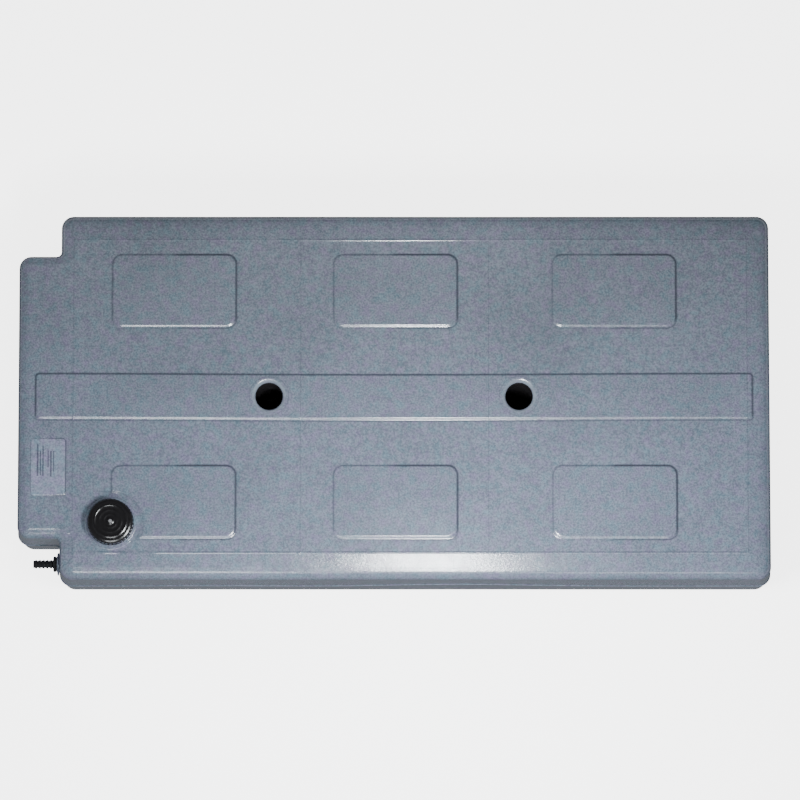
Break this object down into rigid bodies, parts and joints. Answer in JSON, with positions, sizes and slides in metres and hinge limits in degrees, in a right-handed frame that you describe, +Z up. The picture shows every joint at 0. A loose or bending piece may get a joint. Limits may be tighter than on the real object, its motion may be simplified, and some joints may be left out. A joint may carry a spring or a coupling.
{
  "type": "fresh water tank",
  "caption": "Flat moulded water tank for a food truck, with notched corners, stiffening panels, bolt-through tubes, a vented screw filler cap and a side hose barb.",
  "frame": {"origin": "centre of the underside's bounding rectangle", "axes": "+Z up through the face that carries the filler, +X along the length away from the notched end, +Y across"},
  "size_m": [1.219, 0.598, 0.2043],
  "materials": {
    "tank_plastic": "moulded, faint orange peel",
    "neck_plastic": "satin",
    "gasket_rubber": "matt",
    "cap_plastic": "semi-gloss",
    "valve_rubber": "satin",
    "socket_plastic": "satin",
    "seal_rubber": "matt",
    "barb_plastic": "satin"
  },
  "bodies": {
    "tank": {"tank_shell": "tank_plastic", "filler_neck": "neck_plastic", "barb_socket": "socket_plastic", "barb_seal": "seal_rubber", "hose_barb": "barb_plastic"},
    "gasket_ring": {"cap_gasket": "gasket_rubber"},
    "cap": {"filler_cap": "cap_plastic", "vent_valve": "valve_rubber"}
  },
  "joints": [
    {"name": "cap_lift", "type": "slide", "parent": "tank", "child": "gasket_ring", "axis": [0, 0, 1], "range_m": [0, 0.0195]},
    {"name": "cap_turn", "type": "hinge", "parent": "gasket_ring", "child": "cap", "pos_m": [-0.455, -0.206, 0.175], "axis": [0, 0, 1], "range_deg": [0, 1260]}
  ],
  "couplings": [
    {"joint": "cap_lift", "follows": "cap_turn", "m_per_rad": 0.00087535}
  ]
}
